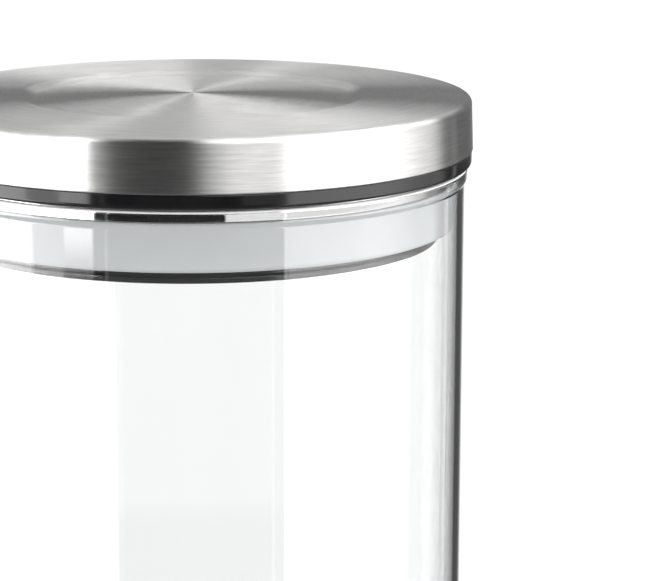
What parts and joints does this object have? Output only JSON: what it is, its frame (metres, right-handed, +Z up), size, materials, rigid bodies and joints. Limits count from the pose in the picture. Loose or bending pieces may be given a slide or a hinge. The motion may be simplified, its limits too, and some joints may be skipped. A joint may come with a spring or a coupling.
{
  "type": "lidded glass canister",
  "caption": "Straight-sided clear glass storage jar with a push-in lid: brushed steel cap, black plastic plug and a milky silicone seal.",
  "frame": {"origin": "centre of the jar's flat underside", "axes": "+Z up along the jar's axis of symmetry, the way the lid lifts; X and Y are free"},
  "size_m": [0.11, 0.11, 0.18],
  "materials": {
    "clear_glass": "clear polished glass",
    "brushed_steel": "satin stainless, brushed round the axis",
    "polished_steel": "bright polished stainless",
    "black_plastic": "glossy moulded plastic",
    "milky_silicone": "translucent silicone"
  },
  "bodies": {
    "jar": {"glass_jar": "clear_glass"},
    "seal": {"seal_sleeve": "milky_silicone"},
    "lid": {"lid_cap": "brushed_steel", "lid_plug": "black_plastic", "plug_base_disc": "black_plastic", "plug_collar": "polished_steel"}
  },
  "joints": [
    {"name": "lid_lift", "type": "slide", "parent": "jar", "child": "seal", "axis": [0, 0, 1], "range_m": [0, 0.05]},
    {"name": "lid_turn", "type": "hinge", "parent": "seal", "child": "lid", "pos_m": [0, 0, 0.1665], "axis": [0, 0, 1], "continuous": true}
  ]
}
